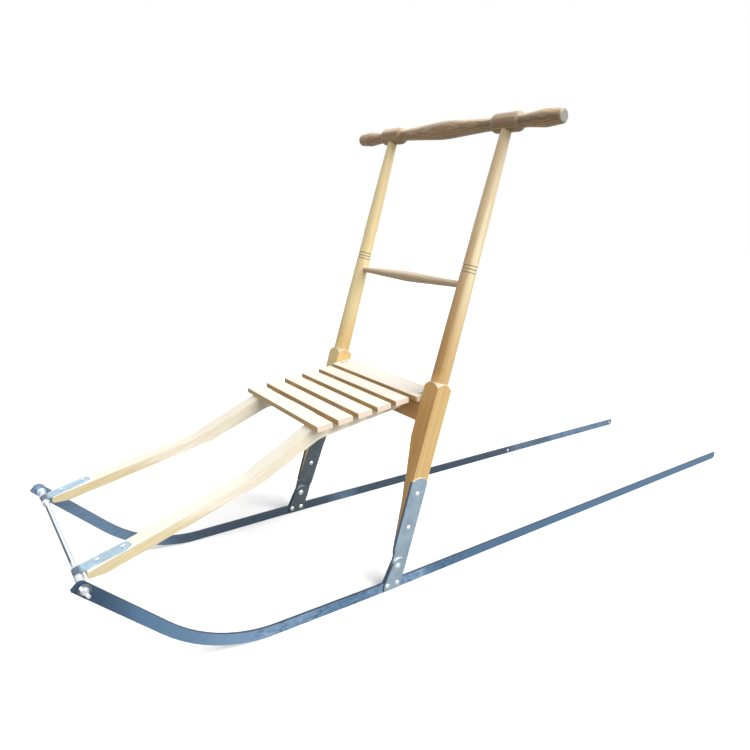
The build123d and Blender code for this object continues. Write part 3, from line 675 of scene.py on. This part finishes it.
# Fastener meshes, in millimetres about their own Z, which points out of the work
def finished(made):
    """Cleans a mesh under construction and gives it soft shading with sharp corners."""
    bmesh.ops.remove_doubles(made, verts=made.verts, dist=0.0005)
    bmesh.ops.recalc_face_normals(made, faces=made.faces)
    mesh = bpy.data.meshes.new("fastener")
    made.to_mesh(mesh)
    made.free()
    mesh.shade_smooth()
    mesh.set_sharp_from_angle(angle=SHARP_ANGLE)
    return mesh


def lathe(outline, columns=48, shift=0):
    """Mesh turned about Z from points of radius and height, which may depend on the angle.

    Where the outline climbs like a thread, the last column meets the first one
    a number of points further up.
    """
    made = bmesh.new()
    rings = []
    for step in range(columns):
        angle = tau * step / columns
        points = outline(angle) if callable(outline) else outline
        turned = [(radius * cos(angle), radius * sin(angle), height) for radius, height in points]
        rings.append([made.verts.new(point) for point in turned])
    for step, ring in enumerate(rings):
        seam = shift if step == columns - 1 else 0
        following = rings[(step + 1) % columns]
        for low in range(len(ring) - 1 - seam):
            made.faces.new((ring[low], following[low + seam], following[low + seam + 1], ring[low + 1]))
    return finished(made)


def slab(outline, thickness):
    """Mesh of a flat outline in the plane of X and Z with a thickness along Y."""
    made = bmesh.new()
    face = made.faces.new([made.verts.new((x, -thickness / 2, z)) for x, z in outline])
    grown = bmesh.ops.extrude_face_region(made, geom=[face])["geom"]
    far_points = [item for item in grown if isinstance(item, bmesh.types.BMVert)]
    bmesh.ops.translate(made, vec=(0, thickness, 0), verts=far_points)
    return finished(made)


def place_piece(name, mesh, material, point, out, body, spin=0.0):
    """Sets a mesh in millimetres on a point, its Z along a direction and turned about it, riding a body."""
    mesh.transform(Matrix.Scale(0.001, 4))
    turn = Vector(out).to_track_quat("Z", "Y") @ Quaternion((0, 0, 1), spin)
    obj = bpy.data.objects.new(name, mesh)
    obj.matrix_world = Matrix.Translation(point) @ turn.to_matrix().to_4x4()
    bpy.context.scene.collection.objects.link(obj)
    mesh.materials.clear()
    mesh.materials.append(materials[material])
    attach(obj, body)
    return obj


THREAD_DEPTH = 0.5
THREAD_PITCH = 1.25
THREAD_COLUMNS = 32


def thread(radius, length):
    """Screw thread, closed at its upper end."""
    root = radius - THREAD_DEPTH
    flanks = [(0.0, root), (0.15, root), (0.5, radius), (0.65, radius)]
    turns = int(length / THREAD_PITCH) + 1

    def outline(angle):
        climb = THREAD_PITCH * (angle / tau - 1)
        points = []
        for turn in range(turns + 1):
            for share, reach in flanks:
                points.append((reach, min(max(climb + (turn + share) * THREAD_PITCH, 0.0), length)))
        return points + [(root, length), (0.0, length)]

    return lathe(outline, THREAD_COLUMNS, len(flanks))


def hex_nut(across, thickness, bore):
    """Chamfered hexagon nut."""
    flat = across / 2
    circle = 0.95 * flat               # where the chamfer starts
    chamfer = radians(30)
    lip = 0.5

    def outline(angle):
        reach = flat / cos((angle + pi / 6) % (pi / 3) - pi / 6)
        drop = (reach - circle) * tan(chamfer)
        return [
            (bore, lip),
            (bore + lip, 0),
            (circle, 0),
            (reach, drop),
            (reach, thickness - drop),
            (circle, thickness),
            (bore + lip, thickness),
            (bore, thickness - lip),
            (bore, lip),
        ]

    return lathe(outline)


def screw_head(diameter, height):
    """Round head with a cross slot, its rim sunk a little."""
    radius = diameter / 2
    sunk = 0.2
    ball = (radius**2 + height**2) / (2 * height)
    steps = 8
    angles = [asin(radius / ball) * step / steps for step in range(steps + 1)]
    dome = [(ball * sin(angle), height - ball * (1 - cos(angle))) for angle in angles]
    head = bpy.data.objects.new("head", lathe(dome + [(radius, -sunk), (0, -sunk)]))
    bpy.context.scene.collection.objects.link(head)
    end = 0.33 * diameter
    width = 0.11 * diameter
    floor_height = 0.35 * height
    top_height = 2 * height
    outline = [(-end, floor_height), (end, floor_height), (end, top_height), (-end, top_height)]
    cutters = []
    for turn in (0, pi / 2):
        slot = slab(outline, width)
        slot.transform(Matrix.Rotation(turn, 4, "Z"))
        cutter = bpy.data.objects.new("cutter", slot)
        bpy.context.scene.collection.objects.link(cutter)
        cut = head.modifiers.new("slot", "BOOLEAN")
        cut.object = cutter
        cut.operation = "DIFFERENCE"
        cut.solver = "EXACT"
        cutters.append(cutter)
    depsgraph = bpy.context.evaluated_depsgraph_get()
    mesh = bpy.data.meshes.new_from_object(head.evaluated_get(depsgraph))
    for obj in [head, *cutters]:
        bpy.data.objects.remove(obj)
    return mesh


def islands(name):
    """Middle of each loose part of a node, sorted from the right and from the rear."""
    made = bmesh.new()
    made.from_mesh(nodes[name].data)
    bmesh.ops.remove_doubles(made, verts=made.verts, dist=1e-6)
    waiting = set(made.verts)
    middles = []
    while waiting:
        group = {waiting.pop()}
        edge = set(group)
        while edge:
            edge = {link.other_vert(vert) for vert in edge for link in vert.link_edges} - group
            group |= edge
        waiting -= group
        low = [min(vert.co[axis] for vert in group) for axis in range(3)]
        high = [max(vert.co[axis] for vert in group) for axis in range(3)]
        middles.append((Vector(low) + Vector(high)) / 2)
    made.free()
    return sorted(middles, key=lambda point: (round(point.y, 3), point.x))


# Hexagon nuts on the cross rod, in millimetres and radians
Nut = namedtuple("Nut", "across thickness bore")
ROD_NUT = Nut(13.0, 6.5, 4.0)
LOCK_NUT = Nut(15.0, 7.0, 6.0)
LOCK_NUT_GAP = 0.1                 # to the outer end of the spacer
LOCK_NUT_SPIN = 0.2
ROD_NUT_SPIN = 0.35                # of the first nut
ROD_NUT_SPIN_STEP = 0.5
ROD_THREAD = (4.12, 22.0)          # radius and length of the thread beside the inner nuts
rod = middle("cross_rod")
for side, sign in SIDES:
    name = f"rod_nuts_{side}"
    for index, point in enumerate(islands(name)):
        seat = point - Vector((0, sign * ROD_NUT.thickness / 2000, 0))
        spin = ROD_NUT_SPIN + ROD_NUT_SPIN_STEP * index
        nut = place_piece(
            f"hex_nut_{side}_{index + 1}", hex_nut(*ROD_NUT), "zinc", seat, (0, sign, 0), "chair", spin
        )
        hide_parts(name)
    spacer_low, spacer_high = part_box(f"rod_spacer_{side}")
    outer = max(abs(spacer_low.y), abs(spacer_high.y))
    inset = (LOCK_NUT.thickness + LOCK_NUT_GAP) / 1000
    seat = Vector((rod.x, sign * (outer - inset), rod.z))
    place_piece(f"lock_nut_{side}", hex_nut(*LOCK_NUT), "zinc", seat, (0, sign, 0), "chair", LOCK_NUT_SPIN)
    strap_low, strap_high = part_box(f"strap_{side}")
    inner = min(abs(strap_low.y), abs(strap_high.y))
    seat = Vector((rod.x, sign * inner, rod.z))
    place_piece(f"rod_thread_{side}", thread(*ROD_THREAD), "zinc", seat, (0, -sign, 0), "chair")

# Wing nut, washer and threaded stub at each runner tip, in millimetres
WASHER_THICKNESS = 1.6
WASHER = [(4.3, 0), (9.7, 0), (10.0, 0.3), (10.0, 1.3), (9.7, 1.6), (4.3, 1.6), (4.3, 0)]
HUB = [
    (4.1, 0.4), (4.5, 0), (6.1, 0), (6.4, 0.5), (6.3, 1.2),
    (5.5, 3.4), (5.1, 4.3), (4.7, 4.6), (4.1, 4.4), (4.1, 0.4),
]
STUB = (3.95, 8.2)                 # radius and length
LOBE_MIDDLE = (7.2, 4.6)
LOBE_RADIUS = 5.2
LOBE_START = -62                   # degrees
LOBE_TURN = 222
LOBE_STEPS = 16
WING_FOOT = (4.2, 0.8)
WING_SHOULDER = (4.2, 4.6)
WING_THICKNESS = 5.2
WING_ROUNDING = 1.6
WING_SPIN = {"left": radians(120), "right": radians(-50)}
lobe = [radians(LOBE_START + LOBE_TURN * step / LOBE_STEPS) for step in range(LOBE_STEPS + 1)]
wing = [
    WING_FOOT,
    *[(LOBE_MIDDLE[0] + LOBE_RADIUS * cos(a), LOBE_MIDDLE[1] + LOBE_RADIUS * sin(a)) for a in lobe],
    WING_SHOULDER,
]
for side, sign in SIDES:
    tip = middle(f"tip_bolt_{side}")
    low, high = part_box(f"tip_bolt_{side}")
    outward = Vector((RUNNER_TOE, sign, 0)).normalized()
    inner_end = Vector((tip.x, low.y if sign > 0 else high.y, tip.z))
    seat = inner_end + outward * STRIP_THICKNESS
    nut_seat = seat + outward * WASHER_THICKNESS / 1000
    body = f"runner_{side}"
    washer = place_piece(f"washer_{side}", lathe(WASHER), "washer", seat, outward, body)
    place_piece(f"wing_nut_hub_{side}", lathe(HUB), "zinc", nut_seat, outward, body)
    place_piece(f"threaded_stub_{side}", thread(*STUB), "zinc", seat, outward, body)
    for index, turn in enumerate((0.0, pi)):
        spin = WING_SPIN[side] + turn
        blade = place_piece(
            f"wing_{side}_{index + 1}", slab(wing, WING_THICKNESS), "zinc", nut_seat, outward, body, spin
        )
        round_edges(blade, WING_ROUNDING, 3)
    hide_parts(f"tip_bolt_{side}")

# Cross-slotted screws on the rear board and the straps, in millimetres and radians
HEAD_DIAMETER = 8.0
HEAD_HEIGHT = 1.8
SCREW_SPIN = 0.6                   # of the first screw
SCREW_SPIN_STEP = 1.1
PAIRED = 0.003                     # how far screws of a pair may differ across the sled, in metres
for name in ("board_screws", "strap_screws_left", "strap_screws_right"):
    points = islands(name)
    for index, point in enumerate(points):
        pair = [other for other in points if abs(other.y - point.y) < PAIRED]
        normal = (pair[1] - pair[0]).cross(Vector((0, -1, 0))).normalized()
        seat = point - normal * HEAD_HEIGHT / 2000
        spin = SCREW_SPIN + SCREW_SPIN_STEP * index
        mesh = screw_head(HEAD_DIAMETER, HEAD_HEIGHT)
        head = place_piece(f"{name}_{index + 1}", mesh, "zinc", seat, normal, "chair", spin)
        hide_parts(name)

# Floor, in metres
FLOOR_SIZE = 60.0
FLOOR_GAP = 0.0005                 # under the runners
FLOOR_WHITE = (0.98, 0.98, 0.98, 1)
FLOOR_GREY = (0.30, 0.30, 0.30, 1)
MIRRORED_SHARE = 0.1               # how much of its whiteness the floor keeps in reflections
floor_mesh = bpy.data.meshes.new("floor")
grid = bmesh.new()
bmesh.ops.create_grid(grid, x_segments=1, y_segments=1, size=FLOOR_SIZE / 2)
grid.to_mesh(floor_mesh)
grid.free()
floor = bpy.data.objects.new("floor", floor_mesh)
bpy.context.scene.collection.objects.link(floor)
floor.location.z = cad_box[0].z - FLOOR_GAP
floor_paint = Graph("floor_paint")
path = floor_paint.tree.nodes.new("ShaderNodeLightPath").outputs
mirrored = floor_paint.math("MAXIMUM", path["Is Glossy Ray"], path["Is Transmission Ray"])
seen = floor_paint.math("MULTIPLY_ADD", mirrored, MIRRORED_SHARE, path["Is Camera Ray"])
floor_paint.set("Base Color", floor_paint.mix(seen, FLOOR_GREY, FLOOR_WHITE))
floor_paint.set("Roughness", 0.9)
floor_paint.set("Specular IOR Level", 0.0)
floor_mesh.materials.append(floor_paint.material)

# One large soft light from above, a little behind and to the left of the sled
SUN_FROM = Vector((-0.25, 0.66, 0.72))
sun = bpy.data.lights.new("soft_light", "SUN")
sun.energy = 3.7
sun.angle = radians(50)
holder = bpy.data.objects.new("soft_light", sun)
holder.rotation_mode = "QUATERNION"
holder.rotation_quaternion = (-SUN_FROM).to_track_quat("-Z", "Y")
bpy.context.scene.collection.objects.link(holder)

# World: white behind the object and in its reflections, softer as a light
WORLD_LIGHT = 0.65
world = bpy.data.worlds.new("studio")
world.use_nodes = True
bpy.context.scene.world = world
tree = world.node_tree
sky = tree.nodes["Background"]
path = tree.nodes.new("ShaderNodeLightPath").outputs
seen = path["Is Camera Ray"]
for ray in ("Is Glossy Ray", "Is Transmission Ray"):
    either = tree.nodes.new("ShaderNodeMath")
    either.operation = "MAXIMUM"
    tree.links.new(seen, either.inputs[0])
    tree.links.new(path[ray], either.inputs[1])
    seen = either.outputs[0]
level = tree.nodes.new("ShaderNodeMapRange")
level.inputs["To Min"].default_value = WORLD_LIGHT
level.inputs["To Max"].default_value = 1.0
tree.links.new(seen, level.inputs["Value"])
tree.links.new(level.outputs[0], sky.inputs["Strength"])
sky.inputs["Color"].default_value = (1, 1, 1, 1)

bpy.context.scene.view_settings.view_transform = "Standard"

# Camera at the photograph's place
lens = bpy.data.cameras.new("camera")
lens.sensor_width = SENSOR_WIDTH
lens.lens = FOCAL_PIXELS * SENSOR_WIDTH / PHOTO_WIDTH
camera = bpy.data.objects.new("camera", lens)
camera.location = EYE
camera.rotation_mode = "QUATERNION"
camera.rotation_quaternion = (AIM - EYE).to_track_quat("-Z", "Y") @ Quaternion((0, 0, 1), CAMERA_ROLL)
bpy.context.scene.collection.objects.link(camera)
bpy.context.scene.camera = camera
